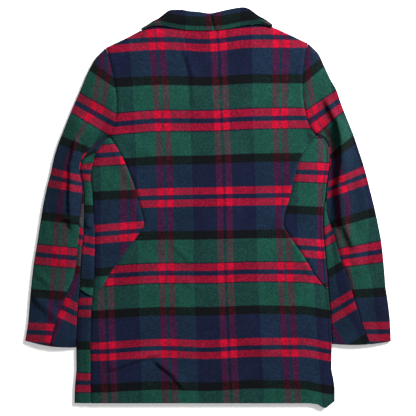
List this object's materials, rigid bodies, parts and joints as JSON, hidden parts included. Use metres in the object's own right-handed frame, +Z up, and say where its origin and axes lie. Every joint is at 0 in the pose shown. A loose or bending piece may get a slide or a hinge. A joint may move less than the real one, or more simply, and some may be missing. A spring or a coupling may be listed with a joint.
{
  "type": "wool coat",
  "caption": "Thigh-length wool coat in a tartan check, laid flat with its back up, with a turned-down collar, two-piece sleeves and a button front.",
  "frame": {"origin": "middle of the box on the floor that the coat lies on", "axes": "+X the wearer's right, +Y from the hem to the collar, +Z up, out of the coat's back"},
  "size_m": [0.733, 0.8009, 0.014],
  "materials": {
    "wool_tartan": "thick woven wool in a red, navy, green and black check, soft nap, no sheen",
    "button": "dark horn-like plastic, soft shine"
  },
  "bodies": {
    "root": {"back_centre": "wool_tartan", "back_side_left": "wool_tartan", "back_side_right": "wool_tartan", "front_side_left": "wool_tartan", "front_side_right": "wool_tartan", "front_left": "wool_tartan", "front_right": "wool_tartan", "lapel_left": "wool_tartan", "lapel_right": "wool_tartan", "upper_sleeve_left": "wool_tartan", "upper_sleeve_right": "wool_tartan", "under_sleeve_left": "wool_tartan", "under_sleeve_right": "wool_tartan", "collar": "wool_tartan", "button_1": "button", "button_2": "button", "button_3": "button"}
  },
  "joints": []
}
